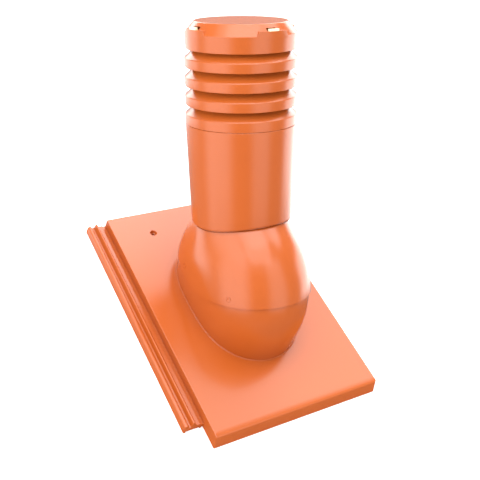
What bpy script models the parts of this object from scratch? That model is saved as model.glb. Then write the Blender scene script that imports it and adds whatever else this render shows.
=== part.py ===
"""Roof vent pipe: a flat interlocking tile, a hood that tilts on it, and a louvred pipe with a cap.

The tile lies flat on its underside. Its front edge, the lower one on a roof, faces -Y, and +Y is up the slope.
"""

import math

import bmesh
import bpy
from mathutils import Vector

# The row origin, measured from the tile's front left corner.
ORIGIN_X = 0.1340
ORIGIN_Y = 0.2484

# Tile plate. Heights on it are measured from its top face, which is z = 0 of the tile frame.
PLATE_WIDTH = 0.3005
PLATE_BACK_Y = 0.4367
PLATE_HEIGHT = 0.023
SHEET = 0.003
NOSE_FOOT_Y = -0.0044
NOSE_EDGE_Y = 0.0022
NOSE_EDGE_DROP = 0.0021
NOSE_ROLL_Y = 0.012
SIDE_DRAFT = 0.0016
STIFFENER_X = (0.0450, 0.2560)
STIFFENER_THICKNESS = 0.003
NIB_FRONT_Y = 0.402
NIB_THICKNESS = 0.009

# Interlocking ribs along the left side.
LOCK_OUTER_X = -0.0325
LOCK_FOOT_Y = 0.0330
LOCK_TOP_Y = 0.0362
TRAY_DROP = 0.0143
GUTTER_DROP = 0.0160
OUTER_RIB_DROP = 0.0100
INNER_RIB_DROP = 0.0075

# Nail hole with its countersink.
NAIL_HOLE = (0.0694, 0.3887)
NAIL_HOLE_RADIUS = 0.0026
NAIL_SINK_RADIUS = 0.0048
NAIL_SINK_DEPTH = 0.0012

# Hinge axis of the hood, level across the tile.
HINGE = (0.150, 0.2266, 0.0390)
LEAN = math.radians(30.0)

# Both dome halves turn about the hinge axis: (x / half width)^2 + (radius / half length)^POWER = 1.
DOME_POWER = 2.8
DOME_HALF_WIDTH = 0.0860
DOME_HALF_LENGTH = 0.1323
DOME_WALL = 0.003
DOME_BACK_WRAP = 16.0
DOME_OPENING = (55.0, 162.0)
DOME_OPENING_HALF_WIDTH = 0.074

# The hood over it. Its rim angles are measured from the hood's own front, square to the pipe.
HOOD_HALF_WIDTH = 0.0890
HOOD_HALF_LENGTH = 0.1355
HOOD_WALL = 0.0024
HOOD_RIM = (3.5, 153.5)
NECK_RADIUS = 0.0754
NECK_BORE = 0.0728
NECK_TOP = 0.165
NECK_ROOT = 0.060
SHOULDER_RADIUS = 0.0757
SHOULDER_DROP = 0.0030

# Tapered sleeve. Heights from here on are measured up the pipe from the hinge axis.
SLEEVE_TOP = 0.2626
SLEEVE_TOP_RADIUS = 0.0841
SLEEVE_HEM = 0.1120
SLEEVE_HEM_RADIUS = 0.0785
SLEEVE_WALL = 0.0026
HEM_SADDLE = 0.0049

# Louvre head: four rings on inner ribs, with a spigot that stands in the sleeve. Each ring's top flares up
# and inward on an arc, whose slope in degrees grows from the band to the inner lip.
RING_COUNT = 4
RING_RADIUS = 0.0840
RING_PITCH = 0.0274
RING_BAND = 0.0136
TOP_RING_EDGE = 0.3594
RING_DRAFT = 0.0006
RING_WALL = 0.0026
FLARE_RISE = 0.0122
FLARE_SLOPES = (35.0, 57.0)
FLARE_STEPS = 3
FLARE_LIP = 0.0018
SPIGOT_FOOT = 0.243
SPIGOT_RADIUS = 0.0805
SPIGOT_WALL = 0.0024
SEAM = 0.2631
HEAD_RIBS = 4
HEAD_RIB_INNER = 0.0615
HEAD_RIB_OUTER = 0.0712
HEAD_RIB_THICKNESS = 0.0030
HEAD_RIB_FOOT = 0.266
HEAD_RIB_TOP = 0.4040

# Cap: a flat lid, a conical edge and a straight skirt, with four housings, each with a hook tip on its ledge.
CAP_FOOT = 0.3721
CAP_FOOT_RADIUS = 0.0820
CAP_SHOULDER = 0.3952
CAP_SHOULDER_RADIUS = 0.0829
CAP_TOP = 0.4113
CAP_TOP_RADIUS = 0.0690
CAP_WALL = 0.0025
CAP_TURN = 2.6
HOUSING_TOP = 0.4020
HOUSING_FOOT_SPREAD = 20.0
HOUSING_TOP_SPREAD = 16.3
HOOK_TOP = 0.4058
HOOK_SPREAD = 6.9
HOOK_INNER_RADIUS = 0.0725

ROUND_STEPS = 48
HEAD_STEPS = 40
DOME_COLUMNS = 20
DOME_STEP = 7.5


def clear_scene():
    for old in list(bpy.data.objects):
        bpy.data.objects.remove(old)


def plastic(name, colour, roughness=0.28):
    material = bpy.data.materials.new(name)
    material.use_nodes = True
    shader = material.node_tree.nodes["Principled BSDF"]
    shader.inputs["Base Color"].default_value = (*colour, 1.0)
    shader.inputs["Roughness"].default_value = roughness
    shader.inputs["Metallic"].default_value = 0.0
    return material


def empty(name, location, parent=None, lean=0.0):
    holder = bpy.data.objects.new(name, None)
    bpy.context.scene.collection.objects.link(holder)
    holder.location = location
    holder.rotation_euler = (-lean, 0.0, 0.0)
    holder.parent = parent
    return holder


def piece(name, points, faces, parent, material=None):
    """One object from points and faces. Without a material it is a cutter."""
    mesh = bpy.data.meshes.new(name)
    mesh.from_pydata([Vector(p) for p in points], [], faces)
    shape = bmesh.new()
    shape.from_mesh(mesh)
    bmesh.ops.recalc_face_normals(shape, faces=shape.faces)
    shape.to_mesh(mesh)
    shape.free()
    made = bpy.data.objects.new(name, mesh)
    bpy.context.scene.collection.objects.link(made)
    made.parent = parent
    if material:
        mesh.materials.append(material)
        mesh.shade_smooth()
        mesh.set_sharp_from_angle(angle=math.radians(32.0))
    else:
        made.hide_render = True
        made.display_type = "WIRE"
    return made


def combine(target, other, operation):
    step = target.modifiers.new(other.name, "BOOLEAN")
    step.operation = operation
    step.solver = "EXACT"
    step.object = other


def extruded(outline, place, near, far):
    """Points and faces of an outline pushed from near to far. place(a, b, depth) gives the point."""
    count = len(outline)
    points = [place(a, b, near) for a, b in outline] + [place(a, b, far) for a, b in outline]
    faces = [tuple(reversed(range(count))), tuple(range(count, 2 * count))]
    for i in range(count):
        following = (i + 1) % count
        faces.append((i, following, count + following, count + i))
    return points, faces


def boxes(ranges):
    """Points and faces of separate boxes, each given as its (low, high) range along x, y and z."""
    points = []
    faces = []
    for (x0, x1), (y0, y1), (z0, z1) in ranges:
        first = len(points)
        outline = [(x0, y0), (x1, y0), (x1, y1), (x0, y1)]
        box_points, box_faces = extruded(outline, lambda a, b, depth: (a, b, depth), z0, z1)
        points += box_points
        faces += [tuple(first + i for i in face) for face in box_faces]
    return points, faces


def turned(profile, steps=ROUND_STEPS, height_at=None):
    """A closed outline of (radius, height), listed up its outer side, turned about z.

    height_at(radius, height, azimuth) may shift a height round the turn.
    """
    count = len(profile)
    points = []
    for step in range(steps):
        azimuth = 2.0 * math.pi * step / steps
        for radius, height in profile:
            z = height_at(radius, height, azimuth) if height_at else height
            points.append((radius * math.sin(azimuth), -radius * math.cos(azimuth), z))
    faces = []
    for step in range(steps):
        here = step * count
        there = ((step + 1) % steps) * count
        for i in range(count):
            following = (i + 1) % count
            faces.append((here + i, there + i, there + following, here + following))
    return points, faces


def turned_solid(profile, steps=ROUND_STEPS):
    """An outline of (radius, height), listed up its outer side, turned about z and closed by flat ends."""
    count = len(profile)
    points, _ = turned(profile, steps)
    faces = []
    for step in range(steps):
        here = step * count
        there = ((step + 1) % steps) * count
        for i in range(count - 1):
            faces.append((here + i, there + i, there + i + 1, here + i + 1))
    faces.append(tuple(step * count for step in reversed(range(steps))))
    faces.append(tuple(step * count + count - 1 for step in range(steps)))
    return points, faces


def dome_columns(half_width, half_length):
    """(x, radius) along the hinge axis, evenly spaced along the curve."""
    fine = 600
    curve = []
    for i in range(fine + 1):
        turn = math.pi * i / fine
        x = -half_width * math.cos(turn)
        radius = half_length * max(math.sin(turn), 0.0) ** (2.0 / DOME_POWER)
        curve.append((x, radius))
    lengths = [0.0]
    for (x0, r0), (x1, r1) in zip(curve, curve[1:]):
        lengths.append(lengths[-1] + math.hypot(x1 - x0, r1 - r0))
    columns = []
    at = 0
    for i in range(DOME_COLUMNS + 1):
        wanted = lengths[-1] * i / DOME_COLUMNS
        while at < fine and lengths[at] < wanted - 1e-12:
            at += 1
        columns.append(curve[at])
    columns[0] = (-half_width, 0.0)
    columns[-1] = (half_width, 0.0)
    return columns


def dome_solid(half_width, half_length, foot):
    """The lower dome as a solid: turned above the hinge axis, square to the tile below it down to foot."""
    columns = dome_columns(half_width, half_length)
    steps = int(round((180.0 + DOME_BACK_WRAP) / DOME_STEP))
    angles = [math.radians((180.0 + DOME_BACK_WRAP) * i / steps) for i in range(steps + 1)]
    back = math.cos(math.radians(DOME_BACK_WRAP))
    points = []
    rows = []
    for x, radius in columns:
        row = []
        if radius == 0.0:
            points.append((x, 0.0, foot))
            points.append((x, 0.0, 0.0))
            foot_index = len(points) - 2
            row = [foot_index] + [foot_index + 1] * len(angles) + [foot_index]
        else:
            path = [(-radius, foot)]
            path += [(-radius * math.cos(a), radius * math.sin(a)) for a in angles]
            path.append((radius * back, foot))
            row = list(range(len(points), len(points) + len(path)))
            points += [(x, y, z) for y, z in path]
        rows.append(row)
    faces = []
    for left, right in zip(rows, rows[1:]):
        for i in range(len(left) - 1):
            corners = []
            for index in (left[i], right[i], right[i + 1], left[i + 1]):
                if index not in corners:
                    corners.append(index)
            if len(corners) > 2:
                faces.append(tuple(corners))
    front_feet = [row[0] for row in rows]
    back_feet = [row[-1] for row in rows[1:-1]]
    faces.append(tuple(back_feet + list(reversed(front_feet))))
    return points, faces


def hem_height(azimuth):
    """The sleeve's lower edge, which dips over the hinge's two ends."""
    return SLEEVE_HEM + HEM_SADDLE * math.cos(2.0 * azimuth)


def hood_solid(inset, overrun):
    """The hood's dome between its rim planes, drawn tight up to a shoulder just below the sleeve's hem."""
    first, last = (math.radians(a) for a in (HOOD_RIM[0] - overrun, HOOD_RIM[1] + overrun))
    steps = int(round(math.degrees(last - first) / DOME_STEP))
    angles = [first + (last - first) * i / steps for i in range(steps + 1)]
    shape = bmesh.new()
    for x, radius in dome_columns(HOOD_HALF_WIDTH - inset, HOOD_HALF_LENGTH - inset):
        if radius == 0.0:
            shape.verts.new((x, 0.0, 0.0))
        else:
            for a in angles:
                shape.verts.new((x, -radius * math.cos(a), radius * math.sin(a)))
    shoulder = SHOULDER_RADIUS - inset
    for step in range(ROUND_STEPS):
        azimuth = 2.0 * math.pi * step / ROUND_STEPS
        height = hem_height(azimuth) - SHOULDER_DROP - inset
        shape.verts.new((shoulder * math.sin(azimuth), -shoulder * math.cos(azimuth), height))
    bmesh.ops.convex_hull(shape, input=shape.verts)
    loose = [v for v in shape.verts if not v.link_faces]
    bmesh.ops.delete(shape, geom=loose, context="VERTS")
    shape.verts.index_update()
    points = [tuple(v.co) for v in shape.verts]
    faces = [tuple(v.index for v in face.verts) for face in shape.faces]
    shape.free()
    return points, faces


def build_tile_base(tile_frame, hinge_frame):
    orange = plastic("tile_plastic", (0.80, 0.23, 0.075))
    plate_outline = [
        (NOSE_FOOT_Y, -PLATE_HEIGHT),
        (PLATE_BACK_Y, -PLATE_HEIGHT),
        (PLATE_BACK_Y, 0.0),
        (NOSE_ROLL_Y, 0.0),
    ]
    for i in (1, 2, 3):
        share = i / 4.0
        y = NOSE_ROLL_Y + (NOSE_EDGE_Y - NOSE_ROLL_Y) * share
        plate_outline.append((y, -NOSE_EDGE_DROP * share * share))
    plate_outline.append((NOSE_EDGE_Y, -NOSE_EDGE_DROP))

    def drafted(y, z, x):
        inward = SIDE_DRAFT * (z + PLATE_HEIGHT) / PLATE_HEIGHT
        return (x + inward if x == 0.0 else x - inward, y, z)

    base = piece("roof_tile_base", *extruded(plate_outline, drafted, 0.0, PLATE_WIDTH), tile_frame, orange)

    lock_outline = [
        (LOCK_OUTER_X, -PLATE_HEIGHT),
        (0.0010, -PLATE_HEIGHT),
        (0.0010, -GUTTER_DROP),
        (-0.0042, -GUTTER_DROP),
        (-0.0052, -TRAY_DROP),
        (-0.0114, -TRAY_DROP),
        (-0.0142, -INNER_RIB_DROP - 0.0010),
        (-0.0152, -INNER_RIB_DROP),
        (-0.0164, -INNER_RIB_DROP),
        (-0.0172, -INNER_RIB_DROP - 0.0010),
        (-0.0192, -0.0138),
        (-0.0206, -0.0152),
        (-0.0230, -0.0152),
        (-0.0250, -OUTER_RIB_DROP - 0.0010),
        (-0.0260, -OUTER_RIB_DROP),
        (-0.0288, -OUTER_RIB_DROP),
        (-0.0300, -OUTER_RIB_DROP - 0.0008),
        (-0.0310, -OUTER_RIB_DROP - 0.0028),
    ]

    def along_tile(x, z, y):
        if y > LOCK_FOOT_Y:
            return (x, y, z)
        setback = (LOCK_TOP_Y - LOCK_FOOT_Y) * (z + PLATE_HEIGHT) / (PLATE_HEIGHT - INNER_RIB_DROP)
        return (x, LOCK_FOOT_Y + setback, z)

    lock_shape = extruded(list(reversed(lock_outline)), along_tile, LOCK_FOOT_Y, PLATE_BACK_Y)
    side_lock = piece("side_lock_guide", *lock_shape, tile_frame)
    dome_shape = dome_solid(DOME_HALF_WIDTH, DOME_HALF_LENGTH, -HINGE[2] - SHEET / 2.0)
    dome_guide = piece("lower_dome_guide", *dome_shape, hinge_frame)

    below = -PLATE_HEIGHT - 0.004
    ceiling = (below, -SHEET)
    stiff_left, stiff_right = STIFFENER_X
    half = STIFFENER_THICKNESS / 2.0
    wall = SHEET + SIDE_DRAFT
    front_y = NOSE_EDGE_Y + SHEET
    back_y = NIB_FRONT_Y + NIB_THICKNESS
    pockets = [
        ((wall, stiff_left - half), (front_y, NIB_FRONT_Y), ceiling),
        ((stiff_left + half, stiff_right - half), (front_y, NIB_FRONT_Y), ceiling),
        ((stiff_right + half, PLATE_WIDTH - wall), (front_y, NIB_FRONT_Y), ceiling),
        ((wall, PLATE_WIDTH - wall), (back_y, PLATE_BACK_Y - SHEET), ceiling),
        (
            (LOCK_OUTER_X + SHEET + 0.001, -SHEET),
            (LOCK_TOP_Y + SHEET, PLATE_BACK_Y - SHEET),
            (below, -TRAY_DROP - SHEET - 0.001),
        ),
    ]
    underside = piece("underside_cutter", *boxes(pockets), tile_frame)
    inside_shape = dome_solid(
        DOME_HALF_WIDTH - DOME_WALL, DOME_HALF_LENGTH - DOME_WALL, -HINGE[2] - PLATE_HEIGHT - 0.002
    )
    inside = piece("dome_inside_cutter", *inside_shape, hinge_frame)

    first, last = (math.radians(a) for a in DOME_OPENING)
    reach = 1.5 * DOME_HALF_LENGTH
    wedge = [(0.0, 0.0)]
    wedge += [
        (-reach * math.cos(first + (last - first) * i / 4.0), reach * math.sin(first + (last - first) * i / 4.0))
        for i in range(5)
    ]
    wedge_shape = extruded(
        wedge, lambda y, z, x: (x, y, z), -DOME_OPENING_HALF_WIDTH, DOME_OPENING_HALF_WIDTH
    )
    opening = piece("dome_opening_cutter", *wedge_shape, hinge_frame)

    hole_profile = [
        (NAIL_HOLE_RADIUS, -2.0 * SHEET),
        (NAIL_HOLE_RADIUS, -NAIL_SINK_DEPTH - 0.0006),
        (NAIL_SINK_RADIUS, -0.0004),
        (NAIL_SINK_RADIUS, 0.002),
    ]
    nail_hole = piece("nail_hole_cutter", *turned_solid(hole_profile, 24), tile_frame)
    nail_hole.location = (NAIL_HOLE[0], NAIL_HOLE[1], 0.0)

    combine(base, side_lock, "UNION")
    combine(base, dome_guide, "UNION")
    for cutter in (underside, inside, opening, nail_hole):
        combine(base, cutter, "DIFFERENCE")
    return base


def build_hood(pipe_frame):
    orange = plastic("hood_plastic", (0.82, 0.24, 0.08))
    hood = piece("tilting_hood", *hood_solid(0.0, 0.0), pipe_frame, orange)
    neck_shape = turned_solid([(NECK_RADIUS, NECK_ROOT), (NECK_RADIUS, NECK_TOP)])
    neck = piece("neck_guide", *neck_shape, pipe_frame)
    bore_shape = turned_solid([(NECK_BORE, NECK_ROOT - 0.02), (NECK_BORE, NECK_TOP + 0.01)])
    bore = piece("neck_bore_cutter", *bore_shape, pipe_frame)
    inside = piece("hood_inside_cutter", *hood_solid(HOOD_WALL, 7.0), pipe_frame)
    combine(hood, neck, "UNION")
    combine(hood, bore, "DIFFERENCE")
    combine(hood, inside, "DIFFERENCE")
    return hood


def sleeve_radius(height):
    share = (height - SLEEVE_HEM) / (SLEEVE_TOP - SLEEVE_HEM)
    return SLEEVE_HEM_RADIUS + (SLEEVE_TOP_RADIUS - SLEEVE_HEM_RADIUS) * share


def build_sleeve(pipe_frame):
    orange = plastic("sleeve_plastic", (0.83, 0.24, 0.08))
    middle = (SLEEVE_HEM + SLEEVE_TOP) / 2.0
    outer = [(sleeve_radius(z), z) for z in (SLEEVE_HEM, middle, SLEEVE_TOP)]
    inner = [(radius - SLEEVE_WALL, z) for radius, z in reversed(outer)]

    def saddle(radius, height, azimuth):
        share = (SLEEVE_TOP - height) / (SLEEVE_TOP - SLEEVE_HEM)
        return height + (hem_height(azimuth) - SLEEVE_HEM) * max(0.0, 2.0 * share - 1.0)

    return piece("tapered_sleeve", *turned(outer + inner, height_at=saddle), pipe_frame, orange)


def ring_outline(edge):
    """One louvre ring: a band whose top edge flares inward and up on an arc to a thin lip."""
    foot = edge - RING_BAND
    bore = RING_RADIUS - RING_WALL
    first, last = (math.radians(slope) for slope in FLARE_SLOPES)
    bend = FLARE_RISE / (math.cos(first) - math.cos(last))
    outline = [(RING_RADIUS - RING_DRAFT, foot)]
    for i in range(FLARE_STEPS + 1):
        slope = first + (last - first) * i / FLARE_STEPS
        inward = bend * (math.sin(slope) - math.sin(first))
        outline.append((RING_RADIUS - inward, edge + bend * (math.cos(first) - math.cos(slope))))
    lip_radius, lip_height = outline[-1]
    outline.append((lip_radius - FLARE_LIP, lip_height - FLARE_LIP))
    outline.append((bore, edge - RING_WALL))
    outline.append((bore - RING_DRAFT, foot))
    return outline


def build_louvre_head(pipe_frame):
    orange = plastic("louvre_plastic", (0.82, 0.23, 0.075))
    points = []
    faces = []
    for ring in range(RING_COUNT):
        edge = TOP_RING_EDGE - ring * RING_PITCH
        outline = ring_outline(edge)
        if ring == RING_COUNT - 1:
            bore, under_edge = outline[-2]
            flare = outline[1:-2]
            outline = [(SPIGOT_RADIUS, SPIGOT_FOOT), (SPIGOT_RADIUS, SEAM), (RING_RADIUS, SEAM)]
            outline += flare
            outline += [(bore - SPIGOT_WALL, under_edge), (SPIGOT_RADIUS - SPIGOT_WALL, SPIGOT_FOOT)]
        ring_points, ring_faces = turned(outline, HEAD_STEPS)
        faces += [tuple(len(points) + i for i in face) for face in ring_faces]
        points += ring_points
    head = piece("louvre_head", points, faces, pipe_frame, orange)

    rib_points = []
    rib_faces = []
    half = HEAD_RIB_THICKNESS / 2.0
    for rib in range(HEAD_RIBS):
        azimuth = 2.0 * math.pi * (rib + 0.5) / HEAD_RIBS
        across = Vector((math.cos(azimuth), math.sin(azimuth), 0.0))
        outward = Vector((math.sin(azimuth), -math.cos(azimuth), 0.0))
        outline = [
            (HEAD_RIB_INNER, -half),
            (HEAD_RIB_OUTER, -half),
            (HEAD_RIB_OUTER, half),
            (HEAD_RIB_INNER, half),
        ]

        def place(a, b, z, outward=outward, across=across):
            flat = outward * a + across * b
            return (flat.x, flat.y, z)

        some_points, some_faces = extruded(outline, place, HEAD_RIB_FOOT, HEAD_RIB_TOP)
        rib_faces += [tuple(len(rib_points) + i for i in face) for face in some_faces]
        rib_points += some_points
    ribs = piece("head_rib_guide", rib_points, rib_faces, pipe_frame)
    combine(head, ribs, "UNION")
    return head


def sector_block(inner_radius, outer_radius, foot, top, foot_spread, top_spread, middle):
    """A block between two radii and two heights, its half spread in degrees changing from foot to top."""
    steps = 6
    outline = []
    for height, spread in ((foot, foot_spread), (top, top_spread)):
        ring = []
        for i in range(steps + 1):
            azimuth = math.radians(middle - spread + 2.0 * spread * i / steps)
            ring.append((outer_radius * math.sin(azimuth), -outer_radius * math.cos(azimuth), height))
        for i in reversed(range(steps + 1)):
            azimuth = math.radians(middle - spread + 2.0 * spread * i / steps)
            ring.append((inner_radius * math.sin(azimuth), -inner_radius * math.cos(azimuth), height))
        outline.append(ring)
    count = len(outline[0])
    points = outline[0] + outline[1]
    faces = [tuple(reversed(range(count))), tuple(range(count, 2 * count))]
    for i in range(count):
        following = (i + 1) % count
        faces.append((i, following, count + following, count + i))
    return points, faces


def build_cap(pipe_frame):
    orange = plastic("cap_plastic", (0.83, 0.25, 0.085))
    slope = (CAP_SHOULDER_RADIUS - CAP_TOP_RADIUS) / (CAP_TOP - CAP_SHOULDER)
    outside = [
        (CAP_FOOT_RADIUS, CAP_FOOT),
        (CAP_SHOULDER_RADIUS, CAP_SHOULDER),
        (CAP_TOP_RADIUS, CAP_TOP),
    ]
    cap = piece("louvre_cap", *turned_solid(outside), pipe_frame, orange)

    housing_points = []
    housing_faces = []
    hook_points = []
    hook_faces = []
    for quarter in range(4):
        middle = CAP_TURN + 90.0 * quarter
        block = sector_block(
            CAP_TOP_RADIUS - 0.004,
            CAP_SHOULDER_RADIUS,
            CAP_SHOULDER - 0.004,
            HOUSING_TOP,
            HOUSING_FOOT_SPREAD,
            HOUSING_TOP_SPREAD,
            middle,
        )
        housing_faces += [tuple(len(housing_points) + i for i in face) for face in block[1]]
        housing_points += block[0]
        block = sector_block(
            HOOK_INNER_RADIUS,
            CAP_SHOULDER_RADIUS,
            HOUSING_TOP - CAP_WALL,
            HOOK_TOP,
            HOOK_SPREAD,
            HOOK_SPREAD,
            middle,
        )
        hook_faces += [tuple(len(hook_points) + i for i in face) for face in block[1]]
        hook_points += block[0]
    housings = piece("hook_housing_guide", housing_points, housing_faces, pipe_frame)
    hooks = piece("hook_tip_guide", hook_points, hook_faces, pipe_frame)

    ceiling = CAP_TOP - CAP_WALL
    inside_profile = [
        (CAP_FOOT_RADIUS - CAP_WALL, CAP_FOOT - 0.004),
        (CAP_SHOULDER_RADIUS - CAP_WALL, CAP_SHOULDER - 0.001),
        (CAP_SHOULDER_RADIUS - CAP_WALL - slope * (ceiling - CAP_SHOULDER + 0.001), ceiling),
    ]
    inside = piece("cap_inside_cutter", *turned_solid(inside_profile), pipe_frame)
    combine(cap, housings, "UNION")
    combine(cap, hooks, "UNION")
    combine(cap, inside, "DIFFERENCE")
    return cap


def build():
    clear_scene()
    tile_frame = empty("tile_frame", (-ORIGIN_X, -ORIGIN_Y, PLATE_HEIGHT))
    hinge_frame = empty("hinge_frame", HINGE, tile_frame)
    pipe_frame = empty("pipe_frame", (0.0, 0.0, 0.0), hinge_frame, LEAN)
    build_tile_base(tile_frame, hinge_frame)
    build_hood(pipe_frame)
    build_sleeve(pipe_frame)
    build_louvre_head(pipe_frame)
    build_cap(pipe_frame)


build()
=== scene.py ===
import math

import bmesh
import bpy
import numpy as np
from mathutils import Matrix, Vector


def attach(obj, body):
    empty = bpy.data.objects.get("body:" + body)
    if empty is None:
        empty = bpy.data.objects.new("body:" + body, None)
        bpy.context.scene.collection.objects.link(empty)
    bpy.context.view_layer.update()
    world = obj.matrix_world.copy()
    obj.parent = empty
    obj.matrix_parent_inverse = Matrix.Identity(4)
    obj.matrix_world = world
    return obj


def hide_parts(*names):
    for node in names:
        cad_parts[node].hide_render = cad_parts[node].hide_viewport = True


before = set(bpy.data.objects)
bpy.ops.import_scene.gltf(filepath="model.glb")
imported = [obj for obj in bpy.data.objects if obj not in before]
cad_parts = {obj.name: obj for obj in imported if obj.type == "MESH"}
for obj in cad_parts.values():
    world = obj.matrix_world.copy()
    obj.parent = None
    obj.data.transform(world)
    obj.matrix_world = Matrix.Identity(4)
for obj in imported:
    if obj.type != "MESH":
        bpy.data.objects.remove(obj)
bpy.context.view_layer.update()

# The tile base is one injection moulding in orange plastic: a flat plate with a rolled nose, locking ribs
# along its left side, ribs and a nib underneath, and the lower half of the dome. A thin bead runs round the
# dome's foot. It lies on its underside, and a nail through the countersunk hole holds it to the batten.

TILE_CORNER = Vector((-0.1340, -0.2484, 0.0230))
PLATE_WIDTH = 0.3005
PLATE_BACK = 0.4367
PLATE_DEEP = 0.023
SHEET = 0.003
STIFFENERS = (0.0450, 0.2560)
NIB_FRONT = 0.402
NIB_THICKNESS = 0.009
NAIL_HOLE = (0.0694, 0.3887)

HINGE = Vector((0.150, 0.2266, 0.0390))
DOME_POWER = 2.8
DOME_WIDE = 0.0860
DOME_LONG = 0.1323
DOME_WALL = 0.003
DOME_BACK_WRAP = math.radians(16.0)
DOME_TURNS = 192


PLASTIC_ORANGE = (0.43, 0.088, 0.014)
ROUGHNESS = 0.20
ROUGHNESS_DRIFT = 0.03
PEEL_STRENGTH = 0.035
PEEL_DEPTH = 0.0004


def moulded_plastic(name, colour):
    """Plastic with a colour that drifts a little with the flow, a faint orange peel and uneven gloss."""
    finish = bpy.data.materials.new(name)
    finish.use_nodes = True
    nodes = finish.node_tree.nodes
    links = finish.node_tree.links
    shader = nodes["Principled BSDF"]
    shader.inputs["IOR"].default_value = 1.5
    place = nodes.new("ShaderNodeTexCoord")

    drift = nodes.new("ShaderNodeTexNoise")
    drift.inputs["Scale"].default_value = 9.0
    drift.inputs["Detail"].default_value = 3.0
    links.new(place.outputs["Object"], drift.inputs["Vector"])
    tint = nodes.new("ShaderNodeMix")
    tint.data_type = "RGBA"
    tint.inputs[6].default_value = (colour[0] * 0.97, colour[1] * 0.94, colour[2] * 0.93, 1.0)
    tint.inputs[7].default_value = (colour[0] * 1.03, colour[1] * 1.06, colour[2] * 1.07, 1.0)
    links.new(drift.outputs["Fac"], tint.inputs[0])
    links.new(tint.outputs[2], shader.inputs["Base Color"])

    sheen = nodes.new("ShaderNodeTexNoise")
    sheen.inputs["Scale"].default_value = 38.0
    sheen.inputs["Detail"].default_value = 2.0
    links.new(place.outputs["Object"], sheen.inputs["Vector"])
    spread = nodes.new("ShaderNodeMapRange")
    spread.inputs["To Min"].default_value = ROUGHNESS - ROUGHNESS_DRIFT
    spread.inputs["To Max"].default_value = ROUGHNESS + ROUGHNESS_DRIFT
    links.new(sheen.outputs["Fac"], spread.inputs["Value"])
    links.new(spread.outputs["Result"], shader.inputs["Roughness"])

    peel = nodes.new("ShaderNodeTexNoise")
    peel.inputs["Scale"].default_value = 420.0
    peel.inputs["Detail"].default_value = 1.0
    links.new(place.outputs["Object"], peel.inputs["Vector"])
    relief = nodes.new("ShaderNodeBump")
    relief.inputs["Strength"].default_value = PEEL_STRENGTH
    relief.inputs["Distance"].default_value = PEEL_DEPTH
    links.new(peel.outputs["Fac"], relief.inputs["Height"])
    links.new(relief.outputs["Normal"], shader.inputs["Normal"])
    return finish


SOFT_ANGLE = math.radians(34.0)


def soften(made):
    """Smooth shading, with a crease where faces meet at more than the soft angle."""
    made.data.shade_smooth()
    made.data.set_sharp_from_angle(angle=SOFT_ANGLE)


def even_shading(made):
    """Lets large faces rule the shading, so that narrow roundings beside them don't bend it."""
    even = made.modifiers.new("even_shading", "WEIGHTED_NORMAL")
    even.keep_sharp = True


def moulding(name, shells, place, finish=None):
    """One object from a list of (points, faces) shells, in the row frame through place."""
    points = []
    faces = []
    for some_points, some_faces in shells:
        first = len(points)
        points += [place(Vector(p)) for p in some_points]
        faces += [tuple(first + i for i in face) for face in some_faces]
    mesh = bpy.data.meshes.new(name)
    mesh.from_pydata(points, [], faces)
    shape = bmesh.new()
    shape.from_mesh(mesh)
    bmesh.ops.recalc_face_normals(shape, faces=shape.faces)
    shape.to_mesh(mesh)
    shape.free()
    made = bpy.data.objects.new(name, mesh)
    bpy.context.scene.collection.objects.link(made)
    if finish:
        mesh.materials.append(finish)
    soften(made)
    return made


def carve(target, cutters, operation="DIFFERENCE"):
    """Cuts or joins the given objects, keeps the result as the target's own mesh, and removes them."""
    for cutter in cutters:
        step = target.modifiers.new(cutter.name, "BOOLEAN")
        step.operation = operation
        step.solver = "EXACT"
        step.object = cutter
    shaped = target.evaluated_get(bpy.context.evaluated_depsgraph_get())
    mesh = bpy.data.meshes.new_from_object(shaped)
    target.modifiers.clear()
    target.data = mesh
    for cutter in cutters:
        bpy.data.objects.remove(cutter)


def on_tile(p):
    return p + TILE_CORNER


def block(x, y, z):
    """A plain box as points and faces, from its ranges along the three axes."""
    points = [(a, b, c) for c in z for b in y for a in x]
    faces = [(0, 2, 3, 1), (4, 5, 7, 6), (0, 1, 5, 4), (2, 6, 7, 3), (0, 4, 6, 2), (1, 3, 7, 5)]
    return points, faces


def stacked(loops, close_first=True, close_last=True):
    """Quads between loops of equal length, each a list of points, with the end loops filled."""
    count = len(loops[0])
    points = [p for loop in loops for p in loop]
    faces = []
    for level in range(len(loops) - 1):
        here = level * count
        there = here + count
        for i in range(count):
            following = (i + 1) % count
            faces.append((here + i, here + following, there + following, there + i))
    if close_first:
        faces.append(tuple(reversed(range(count))))
    if close_last:
        faces.append(tuple(range(len(points) - count, len(points))))
    return points, faces


FRONT_CORNERS = (0.0032, 0.0016)
BACK_CORNER = 0.0012
CORNER_STEPS = 8


def plate_loop(front, front_z, side, side_z):
    """One level of the plate's outline: its front edge and inset at the sides, each with its height."""
    loop = []
    left = side
    right = PLATE_WIDTH - side
    back = PLATE_BACK - 0.6 * side
    front_right, front_left = FRONT_CORNERS
    corners = (
        # middle of the corner, its radius, its first angle, the heights at its ends
        (right - front_right, front + front_right, front_right, -90.0, front_z, side_z),
        (right - BACK_CORNER, back - BACK_CORNER, BACK_CORNER, 0.0, side_z, side_z),
        (left + BACK_CORNER, back - BACK_CORNER, BACK_CORNER, 90.0, side_z, side_z),
        (left + front_left, front + front_left, front_left, 180.0, side_z, front_z),
    )
    for x, y, radius, start, first_z, last_z in corners:
        for step in range(CORNER_STEPS + 1):
            share = step / CORNER_STEPS
            angle = math.radians(start + 90.0 * share)
            smooth = share * share * (3.0 - 2.0 * share)
            z = first_z + (last_z - first_z) * smooth
            loop.append((x + radius * math.cos(angle), y + radius * math.sin(angle), z))
    return loop


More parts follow.
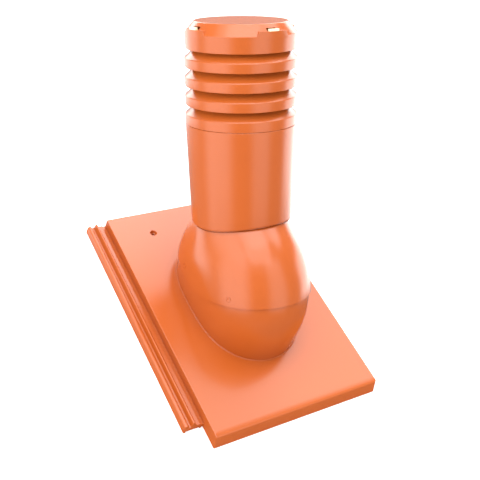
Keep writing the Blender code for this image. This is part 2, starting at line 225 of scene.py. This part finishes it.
plate_levels = [
    # front edge, its height, inset at the sides, their height
    (-0.0044, -0.0230, 0.0000, -0.0230),
    (-0.0041, -0.0222, 0.0001, -0.0220),
    (0.0006, -0.0046, 0.0013, -0.0040),
    (0.0010, -0.0031, 0.0014, -0.0010),
    (0.0014, -0.0024, 0.0015, -0.0006),
    (0.0019, -0.0019, 0.0017, -0.0003),
    (0.0026, -0.00155, 0.0020, -0.0001),
    (0.0036, -0.0012, 0.0024, 0.0),
    (0.0052, -0.0008, 0.0030, 0.0),
    (0.0076, -0.0004, 0.0040, 0.0),
    (0.0100, -0.0001, 0.0060, 0.0),
    (0.0125, 0.0, 0.0085, 0.0),
]
plate = moulding("plate_blank", [stacked([plate_loop(*level) for level in plate_levels])], on_tile)

# The underside is hollow between its skirts, two stiffening ribs and the nib that hooks on the batten.
skirt = SHEET + 0.0016
half_rib = 0.0015
pocket_height = (-PLATE_DEEP - 0.004, -SHEET)
pocket_length = (0.0052, NIB_FRONT)
rib_left, rib_right = STIFFENERS
pockets = [
    block((skirt, rib_left - half_rib), pocket_length, pocket_height),
    block((rib_left + half_rib, rib_right - half_rib), pocket_length, pocket_height),
    block((rib_right + half_rib, PLATE_WIDTH - skirt), pocket_length, pocket_height),
    block((skirt, PLATE_WIDTH - skirt), (NIB_FRONT + NIB_THICKNESS, PLATE_BACK - SHEET), pocket_height),
]


def round_bar(middle, profile, steps=48):
    """A turned bar as points and faces, upright at middle, from (radius, height) pairs going up."""
    loops = []
    for radius, height in profile:
        loop = []
        for i in range(steps):
            angle = 2.0 * math.pi * i / steps
            x = middle[0] + radius * math.cos(angle)
            y = middle[1] + radius * math.sin(angle)
            loop.append((x, y, height))
        loops.append(loop)
    return stacked(loops)


# A boss under the sheet holds the countersunk nail hole, with a shallow recess for the nail's head.
nail_boss = round_bar(NAIL_HOLE, [(0.0052, -0.0076), (0.0058, -0.0072), (0.0084, -0.0020)])
nail_recess = round_bar(
    NAIL_HOLE,
    [
        (0.0026, -0.0090),
        (0.0026, -0.0052),
        (0.0030, -0.0048),
        (0.0040, -0.0044),
        (0.0053, -0.0012),
        (0.0058, -0.0003),
        (0.0064, 0.0001),
        (0.0064, 0.0020),
    ],
)


def dome_radius(azimuth, elevation, half_width, half_length):
    """Distance from the hinge's middle to the rounded dome, along directions given as arrays of angles."""
    flat = np.cos(elevation)
    across = np.abs(np.sin(azimuth) * flat) / half_width
    along = np.hypot(np.cos(azimuth) * flat, np.sin(elevation)) / half_length
    low = np.zeros_like(across)
    high = np.full_like(across, 0.2)
    for _ in range(44):
        middle = 0.5 * (low + high)
        inside = (middle * across) ** 2 + (middle * along) ** DOME_POWER < 1.0
        low = np.where(inside, middle, low)
        high = np.where(inside, high, middle)
    return 0.5 * (low + high)


WALL_STEPS = 6
ROUNDING_STEPS = 49


def lower_dome_loops(inset, foot_levels):
    """Loops up the lower dome: foot_levels are (offset outward, height over the plate), then the wall, then
    the rounding over the hinge. The wall drops square to the plate, at the back from a little lower down.
    """
    size = (DOME_WIDE - inset, DOME_LONG - inset)
    azimuth = 2.0 * math.pi * np.arange(DOME_TURNS) / DOME_TURNS
    wrap = np.arctan(np.tan(-DOME_BACK_WRAP) * np.abs(np.cos(azimuth)))
    start = np.where(np.cos(azimuth) < 0.0, wrap, 0.0)
    edge = dome_radius(azimuth, start, *size)
    x = edge * np.cos(start) * np.sin(azimuth)
    y = -edge * np.cos(start) * np.cos(azimuth)
    top = edge * np.sin(start) + HINGE.z
    out_x = np.roll(y, -1) - np.roll(y, 1)
    out_y = np.roll(x, 1) - np.roll(x, -1)
    length = np.hypot(out_x, out_y)
    out_x, out_y = out_x / length, out_y / length
    loops = []
    for offset, height in foot_levels:
        loops.append((x + out_x * offset, y + out_y * offset, np.full_like(x, height)))
    last = foot_levels[-1][1]
    for step in range(1, WALL_STEPS + 1):
        loops.append((x, y, last + (top - last) * step / WALL_STEPS))
    for step in range(1, ROUNDING_STEPS):
        elevation = start + (0.5 * math.pi - start) * (step / ROUNDING_STEPS)
        radius = dome_radius(azimuth, elevation, *size)
        flat = radius * np.cos(elevation)
        height = radius * np.sin(elevation) + HINGE.z
        loops.append((flat * np.sin(azimuth), -flat * np.cos(azimuth), height))
    placed = []
    for loop in loops:
        columns = [part.tolist() for part in loop]
        placed.append([(HINGE.x + a, HINGE.y + b, c) for a, b, c in zip(*columns)])
    return placed


bead_and_foot = [
    # offset outward from the wall, height over the plate
    (0.0017, -0.0012),
    (0.0017, 0.0003),
    (0.0015, 0.0007),
    (0.0011, 0.0009),
    (0.0006, 0.0009),
    (0.0003, 0.0007),
    (0.0, 0.0008),
    (0.0, 0.0030),
]
dome_outside = stacked(lower_dome_loops(0.0, bead_and_foot))
dome_inside = stacked(lower_dome_loops(DOME_WALL, [(0.0, -0.030), (0.0, 0.001)]))
lower_dome = moulding("lower_dome_blank", [dome_outside], on_tile)
dome_core = moulding("dome_core", [dome_inside], on_tile)
plate_core = dome_core.copy()
bpy.context.scene.collection.objects.link(plate_core)

# Under the hood's front rim the lower dome is relieved by a narrow groove, which shows as a dark line.
RIM_SLOPE = math.radians(3.5)
RIM_REACH = 89.0
RIM_STEPS = 96
GROOVE_TOP, GROOVE_FOOT = 0.0002, 0.0012
GROOVE_DEPTH = 0.0016
PIPE_LEAN = math.radians(30.0)
lean = Matrix.Rotation(-PIPE_LEAN, 3, "X")


def around(radius, azimuth, height):
    """A point at a radius and height, turned round the upright axis from the front."""
    return (radius * math.sin(azimuth), -radius * math.cos(azimuth), height)


rim_loops = []
for step in range(RIM_STEPS + 1):
    azimuth = math.radians(-RIM_REACH + 2.0 * RIM_REACH * step / RIM_STEPS)
    rim = math.atan(math.tan(RIM_SLOPE) * math.cos(azimuth))
    skin = float(dome_radius(np.array([azimuth]), np.array([rim]), DOME_WIDE, DOME_LONG)[0])
    outer = skin + 0.002
    inner = skin - GROOVE_DEPTH
    loop = []
    for radius, drop in (
        (outer, GROOVE_TOP),
        (inner, GROOVE_TOP),
        (inner, GROOVE_FOOT),
        (outer, GROOVE_FOOT),
    ):
        corner = around(radius * math.cos(rim), azimuth, radius * math.sin(rim) - drop)
        loop.append(HINGE + lean @ Vector(corner))
    rim_loops.append(loop)
rim_groove = moulding("rim_groove", [stacked(rim_loops)], on_tile)

# The hood's travel is cut free over the hinge: a wedge from the front over the top to the back.
opening_first, opening_last = math.radians(55.0), math.radians(162.0)
opening_half_width = 0.074
opening_reach = 0.2
opening_side = [(0.0, 0.0)]
for step in range(9):
    angle = opening_first + (opening_last - opening_first) * step / 8.0
    opening_side.append((-opening_reach * math.cos(angle), opening_reach * math.sin(angle)))
opening_loops = [
    [(HINGE.x + x, HINGE.y + y, HINGE.z + z) for y, z in opening_side]
    for x in (-opening_half_width, opening_half_width)
]
dome_opening = moulding("dome_opening", [stacked(opening_loops)], on_tile)
carve(lower_dome, [dome_core, dome_opening, rim_groove])
carve(plate, [moulding("pocket_%d" % i, [pocket], on_tile) for i, pocket in enumerate(pockets)])
carve(plate, [moulding("nail_boss", [nail_boss], on_tile)], "UNION")
carve(plate, [plate_core, moulding("nail_recess", [nail_recess], on_tile)])

# (x, height) round the ribs' section, from the outer foot over both ribs to the gutter beside the plate.
lock_section = [
    (-0.0325, -0.0230),
    (-0.0325, -0.0226),
    (-0.0311, -0.0130),
    (-0.0308, -0.0116),
    (-0.0302, -0.0106),
    (-0.0292, -0.0100),
    (-0.0270, -0.0099),
    (-0.0260, -0.0102),
    (-0.0252, -0.0109),
    (-0.0246, -0.0120),
    (-0.0232, -0.0147),
    (-0.0226, -0.0151),
    (-0.0210, -0.0151),
    (-0.0203, -0.0147),
    (-0.0192, -0.0134),
    (-0.0174, -0.0088),
    (-0.0169, -0.0079),
    (-0.0162, -0.0075),
    (-0.0154, -0.0075),
    (-0.0147, -0.0079),
    (-0.0141, -0.0087),
    (-0.0118, -0.0137),
    (-0.0111, -0.0143),
    (-0.0055, -0.0143),
    (-0.0050, -0.0145),
    (-0.0044, -0.0157),
    (-0.0038, -0.0160),
    (0.0030, -0.0160),
    (0.0030, -0.0200),
    (-0.0030, -0.0200),
    (-0.0030, -0.0230),
    (-0.0060, -0.0230),
    (-0.0060, -0.0183),
    (-0.0285, -0.0183),
    (-0.0285, -0.0230),
]
lock_front, lock_front_top = 0.0330, 0.0362
lock_loops = []
for share in (0.0, 1.0):
    loop = []
    for x, z in lock_section:
        setback = (lock_front_top - lock_front) * (z + PLATE_DEEP) / (PLATE_DEEP - 0.0075)
        front = lock_front + setback
        loop.append((x, front + (PLATE_BACK - front) * share, z))
    lock_loops.append(loop)
side_lock = moulding("side_lock_blank", [stacked(lock_loops)], on_tile)
end_width = (-0.0322, 0.001)
end_height = (-PLATE_DEEP, -0.0165)
end_walls = [
    block(end_width, (0.0345, 0.0385), end_height),
    block(end_width, (PLATE_BACK - SHEET, PLATE_BACK), end_height),
]


def as_shell(made):
    """The object's points and faces, and the object is removed."""
    shell = ([v.co.copy() for v in made.data.vertices], [tuple(f.vertices) for f in made.data.polygons])
    bpy.data.objects.remove(made)
    return shell


tile_finish = moulded_plastic("tile_plastic_finish", PLASTIC_ORANGE)
end_wall_shells = [([on_tile(Vector(p)) for p in points], faces) for points, faces in end_walls]
tile_shells = [as_shell(plate), as_shell(lower_dome), as_shell(side_lock)] + end_wall_shells
roof_tile = moulding("roof_tile", tile_shells, lambda p: p, tile_finish)
even_shading(roof_tile)
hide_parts("roof_tile_base")
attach(roof_tile, "tile")

# The hood is the upper half of the dome, moulded with the round neck that the pipe stands on. It rides on
# the tile's half and tilts about the dome's own axis, so that the pipe stands upright on any roof pitch.

HOOD_WIDE = 0.0890
HOOD_LONG = 0.1355
HOOD_WALL = 0.0024
HOOD_BACK_RIM = math.radians(26.5)
NECK_RADIUS = 0.0754
NECK_BORE = 0.0728
NECK_TOP = 0.165
HEM = 0.1120
HEM_SADDLE = 0.0049
HEM_GROOVE = 0.0014
NECK_FOOT_DROP = 0.0030
hinge_in_row = TILE_CORNER + HINGE
pipe_stand = Matrix.Translation(hinge_in_row) @ Matrix.Rotation(-PIPE_LEAN, 4, "X")


def on_pipe(p):
    return pipe_stand @ p


def hood_section(azimuth, inset, ring_radius, ring_height, count):
    """(distance from the pipe's axis, height) from the rim up, drawn tight to the neck's foot."""
    slope = RIM_SLOPE if math.cos(azimuth) > 0.0 else HOOD_BACK_RIM
    rim = math.atan(math.tan(slope) * abs(math.cos(azimuth)))
    top = math.atan2(ring_height, ring_radius)
    elevation = np.linspace(rim, top, 240)
    turn = np.full_like(elevation, azimuth)
    radius = dome_radius(turn, elevation, HOOD_WIDE - inset, HOOD_LONG - inset)
    out = radius * np.cos(elevation)
    up = radius * np.sin(elevation)
    under = up < ring_height - 1e-5
    pull = np.where(under, (out - ring_radius) / np.where(under, ring_height - up, 1.0), -9.0)
    touch = int(np.argmax(pull))
    out = np.append(out[: touch + 1], ring_radius)
    up = np.append(up[: touch + 1], ring_height)
    run = np.concatenate([[0.0], np.cumsum(np.hypot(np.diff(out), np.diff(up)))])
    wanted = np.linspace(0.0, run[-1], count)
    return list(zip(np.interp(wanted, run, out).tolist(), np.interp(wanted, run, up).tolist()))


hood_columns = []
for turn in range(DOME_TURNS):
    azimuth = 2.0 * math.pi * turn / DOME_TURNS
    hem_height = HEM + HEM_SADDLE * math.cos(2.0 * azimuth)
    neck_foot = hem_height - NECK_FOOT_DROP
    section = hood_section(azimuth, 0.0, NECK_RADIUS, neck_foot, 56)
    section += [
        (NECK_RADIUS - HEM_GROOVE, neck_foot + 0.0002),
        (NECK_RADIUS - HEM_GROOVE, hem_height + 0.0010),
        (NECK_RADIUS, hem_height + 0.0025),
        (NECK_RADIUS, NECK_TOP - 0.001),
        (NECK_RADIUS - 0.0006, NECK_TOP),
        (NECK_BORE + 0.0006, NECK_TOP),
        (NECK_BORE, NECK_TOP - 0.001),
    ]
    section += reversed(hood_section(azimuth, HOOD_WALL, NECK_BORE, neck_foot - HOOD_WALL, 30))
    hood_columns.append([around(out, azimuth, up) for out, up in section])


def closed_turn(columns):
    """Quads round a ring of closed sections, given one after the other round the axis."""
    count = len(columns[0])
    points = [p for column in columns for p in column]
    faces = []
    for here in range(len(columns)):
        there = (here + 1) % len(columns)
        for i in range(count):
            following = (i + 1) % count
            first, second = here * count, there * count
            faces.append((first + i, second + i, second + following, first + following))
    return points, faces


def turned(section, turns=DOME_TURNS):
    """A closed section of (radius, height) turned about the pipe's axis."""
    columns = []
    for turn in range(turns):
        azimuth = 2.0 * math.pi * turn / turns
        columns.append([around(radius, azimuth, height) for radius, height in section])
    return closed_turn(columns)


hood_finish = moulded_plastic("hood_plastic_finish", PLASTIC_ORANGE)
hood = moulding("hood", [closed_turn(hood_columns)], on_pipe, hood_finish)


def on_hood_skin(azimuth, elevation):
    """The point of the hood's skin in a direction from the hinge, given in radians."""
    reach = float(dome_radius(np.array([azimuth]), np.array([elevation]), HOOD_WIDE, HOOD_LONG)[0])
    return Vector(around(math.cos(elevation), azimuth, math.sin(elevation))) * reach


# Two moulded marks, each a fine ring with a dimple inside, cut square to the hood's skin.
MARK_RING = [(0.0036, -0.0005), (0.0044, -0.0005), (0.0046, 0.002), (0.0034, 0.002)]
MARK_DIMPLE = [(0.0007, -0.0007), (0.0011, -0.0004), (0.0012, 0.002)]
DIMPLE_MIDDLE = (-0.0010, 0.0012)
HOOD_MARKS = ((-41.0, 8.4), (-110.4, 19.0))
NEARBY = 0.02
cutters = []
for azimuth, elevation in HOOD_MARKS:
    azimuth = math.radians(azimuth)
    elevation = math.radians(elevation)
    middle = on_hood_skin(azimuth, elevation)
    across = on_hood_skin(azimuth + NEARBY, elevation) - middle
    upward = on_hood_skin(azimuth, elevation + NEARBY) - middle
    square = across.cross(upward).normalized().to_track_quat("Z", "Y").to_matrix().to_4x4()
    stand = pipe_stand @ Matrix.Translation(middle) @ square
    for shell in (turned(MARK_RING, 40), round_bar(DIMPLE_MIDDLE, MARK_DIMPLE, 20)):
        cutters.append(moulding("hood_mark", [shell], lambda p, stand=stand: stand @ p))
carve(hood, cutters)
soften(hood)
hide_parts("tilting_hood")
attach(hood, "hood")

# The sleeve is a plain tapered pipe, pushed down over the neck. Its lower edge is cut like a saddle to
# follow the dome, with a narrow shadow gap under it.

SLEEVE_TOP = 0.2626
SLEEVE_TOP_RADIUS = 0.0841
SLEEVE_HEM_RADIUS = 0.0785
SLEEVE_WALL = 0.0026
ROUND_TURNS = 192

# (inset from the outer taper, height over the hem) up the outside, over the top and down the bore.
sleeve_height = SLEEVE_TOP - HEM
sleeve_profile = [(0.0008, 0.0), (0.0003, 0.0003), (0.0, 0.0009), (0.0, 0.0020)]
sleeve_profile += [(0.0, 0.0020 + 0.0143 * i) for i in range(1, 10)]
sleeve_profile += [(0.0, sleeve_height - 0.0006), (0.0005, sleeve_height)]
sleeve_profile += [(SLEEVE_WALL, height) for height in (sleeve_height, 0.10, 0.05, 0.0008)]
sleeve_profile += [(SLEEVE_WALL - 0.0006, 0.0)]
sleeve_columns = []
for turn in range(ROUND_TURNS):
    azimuth = 2.0 * math.pi * turn / ROUND_TURNS
    dip = HEM_SADDLE * math.cos(2.0 * azimuth)
    column = []
    for inset, over_hem in sleeve_profile:
        share = over_hem / sleeve_height
        radius = SLEEVE_HEM_RADIUS + (SLEEVE_TOP_RADIUS - SLEEVE_HEM_RADIUS) * share - inset
        height = HEM + over_hem + dip * max(0.0, 1.0 - 2.0 * share)
        column.append(around(radius, azimuth, height))
    sleeve_columns.append(column)
sleeve_finish = moulded_plastic("sleeve_plastic_finish", PLASTIC_ORANGE)
sleeve = moulding("sleeve", [closed_turn(sleeve_columns)], on_pipe, sleeve_finish)
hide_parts("tapered_sleeve")
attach(sleeve, "hood")

# The louvre head is one moulding: four rings, each a straight band whose top flares up and inward, on four
# upright ribs inside. The lowest ring runs down into a collar and a spigot that stands in the sleeve.

RING_RADIUS = 0.0840
RING_PITCH = 0.0274
RING_BAND = 0.0136
TOP_RING_EDGE = 0.3594
RING_WALL = 0.0026
FLARE_RISE = 0.0122
FLARE_SLOPES = (math.radians(35.0), math.radians(57.0))
FLARE_LIP = 0.0018
SEAM = 0.2631
SPIGOT_RADIUS = 0.0805
SPIGOT_FOOT = 0.243
SPIGOT_WALL = 0.0024
RIB_RADII = (0.0615, 0.0712)
RIB_HALF = 0.0015
RIB_HEIGHT = (0.266, 0.404)
RIB_COUNT = 4
FLARE_STEPS = 10


def ring_top(edge):
    """The rounded shoulder of a ring and its top, flaring up and inward on an arc to a thin lip."""
    first, last = FLARE_SLOPES
    bend = FLARE_RISE / (math.cos(first) - math.cos(last))
    top = [
        (RING_RADIUS, edge - 0.0009),
        (RING_RADIUS - 0.0001, edge - 0.0003),
        (RING_RADIUS - 0.0004, edge + 0.0002),
    ]
    for i in range(1, FLARE_STEPS + 1):
        slope = first + (last - first) * i / FLARE_STEPS
        inward = bend * (math.sin(slope) - math.sin(first))
        top.append((RING_RADIUS - inward, edge + bend * (math.cos(first) - math.cos(slope))))
    lip_radius, lip_height = top[-1]
    top.append((lip_radius - 0.0006, lip_height + 0.0001))
    top.append((lip_radius - FLARE_LIP, lip_height - FLARE_LIP))
    return top


head_shells = []
ring_bore = RING_RADIUS - RING_WALL
for ring in range(3):
    edge = TOP_RING_EDGE - ring * RING_PITCH
    foot = edge - RING_BAND
    section = [(RING_RADIUS - 0.0012, foot), (RING_RADIUS - 0.0007, foot + 0.0005)]
    section += ring_top(edge)
    section += [(ring_bore, edge - 0.0030), (ring_bore - 0.0004, foot + 0.0004), (ring_bore - 0.0001, foot)]
    head_shells.append(turned(section))
edge = TOP_RING_EDGE - 3 * RING_PITCH
section = [(SPIGOT_RADIUS, SPIGOT_FOOT), (SPIGOT_RADIUS, SEAM), (RING_RADIUS - 0.0003, SEAM)]
section += [(RING_RADIUS, SEAM + 0.0003)] + ring_top(edge)
section += [(ring_bore - SPIGOT_WALL, edge - 0.0030), (SPIGOT_RADIUS - SPIGOT_WALL, SPIGOT_FOOT)]
head_shells.append(turned(section))

rib_inner, rib_outer = RIB_RADII
for number in range(RIB_COUNT):
    turn = Matrix.Rotation(2.0 * math.pi * (number + 0.5) / RIB_COUNT, 3, "Z")
    points, faces = block((-RIB_HALF, RIB_HALF), (-rib_outer, -rib_inner), RIB_HEIGHT)
    head_shells.append(([tuple(turn @ Vector(p)) for p in points], faces))
head_finish = moulded_plastic("louvre_plastic_finish", PLASTIC_ORANGE)
head = moulding("louvres", head_shells, on_pipe, head_finish)
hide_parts("louvre_head")
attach(head, "hood")

# The cap is one moulding, pressed onto the head's ribs: a flat lid, a conical edge and a straight skirt.
# Four housings stand proud of the cone, each with a slot above its ledge and a hook tip before it, painted
# pale cream as a highlight.

CAP_FOOT = 0.3721
CAP_FOOT_RADIUS = 0.0820
CAP_SHOULDER = 0.3952
CAP_SHOULDER_RADIUS = 0.0829
CAP_TOP = 0.4113
CAP_TOP_RADIUS = 0.0690
CAP_WALL = 0.0025
HOUSING_TOP = 0.4020
CAP_TURN = 2.6
HOUSING_SPREAD = (20.0, 16.3)
SLOT_SPREAD = 6.1
SLOT_TOP = 0.4058
SLOT_INNER = 0.070
HOOK_RADII = (0.0785, 0.0828)
HOOK_TOP = 0.4052
HOOK_SPREAD = 5.8
# Pale cream painted on the hook tips as a highlight, not the plastic's own colour.
HOOK_HIGHLIGHT_CREAM = (0.90, 0.82, 0.52)


def turned_lid(section):
    """(radius, height) from the lowest loop to the highest, turned and closed by flat ends."""
    loops = []
    for radius, height in section:
        loop = []
        for turn in range(ROUND_TURNS):
            azimuth = 2.0 * math.pi * turn / ROUND_TURNS
            loop.append(around(radius, azimuth, height))
        loops.append(loop)
    return stacked(loops)


SECTOR_STEPS = 14


def sector(inner, outer, heights, spreads, middle):
    """A block between two radii, two heights and the half spreads, in degrees, at its foot and its top."""
    loops = []
    for height, spread in zip(heights, spreads):
        loop = []
        for radius, order in ((outer, 1), (inner, -1)):
            for i in range(SECTOR_STEPS + 1)[::order]:
                azimuth = math.radians(middle - spread + 2.0 * spread * i / SECTOR_STEPS)
                loop.append(around(radius, azimuth, height))
        loops.append(loop)
    return stacked(loops)


cap_slope = (CAP_SHOULDER_RADIUS - CAP_TOP_RADIUS) / (CAP_TOP - CAP_SHOULDER)
cap_outside = [
    (CAP_FOOT_RADIUS - 0.0006, CAP_FOOT),
    (CAP_FOOT_RADIUS - 0.0001, CAP_FOOT + 0.0005),
    (CAP_SHOULDER_RADIUS, CAP_SHOULDER - 0.0006),
    (CAP_SHOULDER_RADIUS - 0.0001, CAP_SHOULDER),
    (CAP_SHOULDER_RADIUS - 0.0006, CAP_SHOULDER + 0.0006),
    (CAP_TOP_RADIUS + 0.0009, CAP_TOP - 0.0010),
    (CAP_TOP_RADIUS + 0.0003, CAP_TOP - 0.0004),
    (CAP_TOP_RADIUS - 0.0004, CAP_TOP - 0.0001),
    (CAP_TOP_RADIUS - 0.0012, CAP_TOP),
]
ceiling = CAP_TOP - CAP_WALL
cap_inside = [
    (CAP_FOOT_RADIUS - CAP_WALL, CAP_FOOT - 0.004),
    (CAP_SHOULDER_RADIUS - CAP_WALL, CAP_SHOULDER - 0.001),
    (CAP_SHOULDER_RADIUS - CAP_WALL - cap_slope * (ceiling - CAP_SHOULDER + 0.001), ceiling),
]
housings = []
slots = []
hook_tips = []
housing_heights = (CAP_SHOULDER - 0.004, HOUSING_TOP)
slot_heights = (HOUSING_TOP + 0.0003, SLOT_TOP)
hook_heights = (HOUSING_TOP - 0.0006, HOOK_TOP)
housing_inner = CAP_TOP_RADIUS - 0.004
slot_outer = CAP_SHOULDER_RADIUS + 0.004
for quarter in range(4):
    middle = CAP_TURN + 90.0 * quarter
    housings.append(sector(housing_inner, CAP_SHOULDER_RADIUS, housing_heights, HOUSING_SPREAD, middle))
    slots.append(sector(SLOT_INNER, slot_outer, slot_heights, (SLOT_SPREAD, SLOT_SPREAD), middle))
    hook_tips.append(sector(*HOOK_RADII, hook_heights, (HOOK_SPREAD, HOOK_SPREAD), middle))
cap_finish = moulded_plastic("cap_plastic_finish", PLASTIC_ORANGE)
gate_mark = round_bar((0.0, 0.0), [(0.0012, CAP_TOP - 0.0010), (0.0022, CAP_TOP + 0.0004)], 24)
cap = moulding("cap", [turned_lid(cap_outside)], on_pipe, cap_finish)
carve(cap, [moulding("housings", housings, on_pipe)], "UNION")
cap_cutters = (("cap_core", [turned_lid(cap_inside)]), ("slots", slots), ("gate_mark", [gate_mark]))
carve(cap, [moulding(name, shells, on_pipe) for name, shells in cap_cutters])
soften(cap)
even_shading(cap)
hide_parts("louvre_cap")
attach(cap, "hood")

# The hook tips get a painted highlight: a pale cream finish in place of the orange plastic.
hook_highlight_finish = moulded_plastic("hook_tip_painted_highlight", HOOK_HIGHLIGHT_CREAM)
highlighted_hooks = moulding("hook_tips", hook_tips, on_pipe, hook_highlight_finish)
hook_edge = highlighted_hooks.modifiers.new("rounded_edge", "BEVEL")
hook_edge.width = 0.0004
hook_edge.segments = 2
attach(highlighted_hooks, "hood")

# The studio: the vent lies on a white table that glows faintly, in a white tent with soft panels round it
# and a large lamp above, and the camera looks down on its front left corner.

TABLE_HALF = 3.0
CAMERA_RIGHT = Vector((0.855364, -0.449616, 0.257290))
CAMERA_UP = Vector((0.185046, 0.729099, 0.658918))
CAMERA_BACK = Vector((-0.483850, -0.516005, 0.706844))
CAMERA_PLACE = Vector((-0.591951, -0.632329, 1.007360))
CAMERA_LENS = 58.547
LAMP_PLACE = Vector((-0.3, 0.1, 2.2))
LAMP_AIM = Vector((0.016, 0.02, 0.16))

table_finish = bpy.data.materials.new("white_table_finish")
table_finish.use_nodes = True
table_shader = table_finish.node_tree.nodes["Principled BSDF"]
table_shader.inputs["Base Color"].default_value = (0.93, 0.93, 0.93, 1.0)
table_shader.inputs["Roughness"].default_value = 0.6
table_shader.inputs["Emission Color"].default_value = (1.0, 1.0, 1.0, 1.0)
table_shader.inputs["Emission Strength"].default_value = 0.15
table_mesh = bpy.data.meshes.new("white_table")
table_points = [(x * TABLE_HALF, y * TABLE_HALF, 0.0) for x, y in ((-1, -1), (1, -1), (1, 1), (-1, 1))]
table_mesh.from_pydata(table_points, [], [(0, 1, 2, 3)])
table_mesh.materials.append(table_finish)
table = bpy.data.objects.new("white_table", table_mesh)
bpy.context.scene.collection.objects.link(table)
table.visible_glossy = False

tent = bpy.data.worlds.new("white_tent")
tent.use_nodes = True
tent_nodes = tent.node_tree.nodes
tent_links = tent.node_tree.links
tent_way = tent_nodes.new("ShaderNodeTexCoord").outputs["Generated"]


def tent_math(operation, *values):
    """One step of arithmetic on numbers or on other steps' results."""
    step = tent_nodes.new("ShaderNodeMath")
    step.operation = operation
    for socket, value in zip(step.inputs, values):
        if isinstance(value, float):
            socket.default_value = value
        else:
            tent_links.new(value, socket)
    return step.outputs[0]


def tent_along(axis):
    """How far a direction points along a fixed axis."""
    product = tent_nodes.new("ShaderNodeVectorMath")
    product.operation = "DOT_PRODUCT"
    tent_links.new(tent_way, product.inputs[0])
    product.inputs[1].default_value = axis
    return product.outputs["Value"]


def tent_step(value, low, high):
    """A smooth step from 0 at low to 1 at high."""
    ramp = tent_nodes.new("ShaderNodeMapRange")
    ramp.interpolation_type = "SMOOTHSTEP"
    tent_links.new(value, ramp.inputs["Value"])
    ramp.inputs["From Min"].default_value = low
    ramp.inputs["From Max"].default_value = high
    return ramp.outputs["Result"]


# The panels stand square to the pipe. A turn is counted from the camera's side, to the right.
panel_up = Vector((0.0, math.sin(PIPE_LEAN), math.cos(PIPE_LEAN)))
panel_side = (CAMERA_RIGHT - panel_up * CAMERA_RIGHT.dot(panel_up)).normalized()
panel_front = panel_side.cross(panel_up)
rise = tent_math("ARCSINE", tent_along(panel_up))
turn_right = tent_math("ARCTAN2", tent_along(panel_side), tent_along(panel_front))


FOOT_SOFT = 5.0
HEAD_SOFT = 6.0


def tent_panel(turn, half_turn, soft, low, high, strength):
    """A soft-edged bright panel round a turn, between two heights, all in degrees."""
    off = tent_math("WRAP", tent_math("SUBTRACT", turn_right, math.radians(turn)), math.pi, -math.pi)
    off = tent_math("ABSOLUTE", off)
    across = tent_step(off, math.radians(half_turn + soft), math.radians(half_turn))
    foot = tent_step(rise, math.radians(low - FOOT_SOFT), math.radians(low + FOOT_SOFT))
    head = tent_step(rise, math.radians(high + HEAD_SOFT), math.radians(high - HEAD_SOFT))
    patch = tent_math("MULTIPLY", across, tent_math("MULTIPLY", foot, head))
    return tent_math("MULTIPLY", patch, strength)


tent_light = 0.12
for panel in (
    # turn, half turn, soft edge, low, high, strength
    (0.0, 180.0, 1.0, -24.0, 98.0, 0.33),
    (-50.0, 14.0, 28.0, -25.0, 54.0, 2.4),
    (42.0, 9.0, 20.0, -25.0, 40.0, 1.7),
    (-128.0, 20.0, 22.0, -12.0, 12.0, 2.6),
    (132.0, 20.0, 20.0, -20.0, 12.0, 4.0),
    (-157.0, 14.0, 4.0, 12.0, 42.0, 4.6),
    (157.0, 14.0, 4.0, 12.0, 42.0, 4.6),
    (0.0, 50.0, 40.0, 28.0, 58.0, 0.5),
    (135.0, 35.0, 30.0, 42.0, 62.0, 4.0),
    (162.0, 20.0, 12.0, 60.0, 76.0, 4.6),
    (0.0, 180.0, 1.0, 60.0, 98.0, 2.1),
):
    tent_light = tent_math("ADD", tent_panel(*panel), tent_light)
tent_nodes["Background"].inputs["Color"].default_value = (1.0, 1.0, 1.0, 1.0)
tent_links.new(tent_light, tent_nodes["Background"].inputs["Strength"])
bpy.context.scene.world = tent

lamp = bpy.data.lights.new("top_softbox", "AREA")
lamp.shape = "SQUARE"
lamp.size = 1.8
lamp.energy = 27.0
softbox = bpy.data.objects.new("top_softbox", lamp)
bpy.context.scene.collection.objects.link(softbox)
softbox.location = LAMP_PLACE
softbox.rotation_euler = (LAMP_AIM - LAMP_PLACE).to_track_quat("-Z", "Y").to_euler()

camera_data = bpy.data.cameras.new("camera")
camera_data.lens = CAMERA_LENS
camera_data.sensor_width = 36.0
camera = bpy.data.objects.new("camera", camera_data)
bpy.context.scene.collection.objects.link(camera)
turned_camera = Matrix((CAMERA_RIGHT, CAMERA_UP, CAMERA_BACK)).transposed().to_4x4()
turned_camera.translation = CAMERA_PLACE
camera.matrix_world = turned_camera
bpy.context.scene.camera = camera
bpy.context.scene.view_settings.view_transform = "Standard"
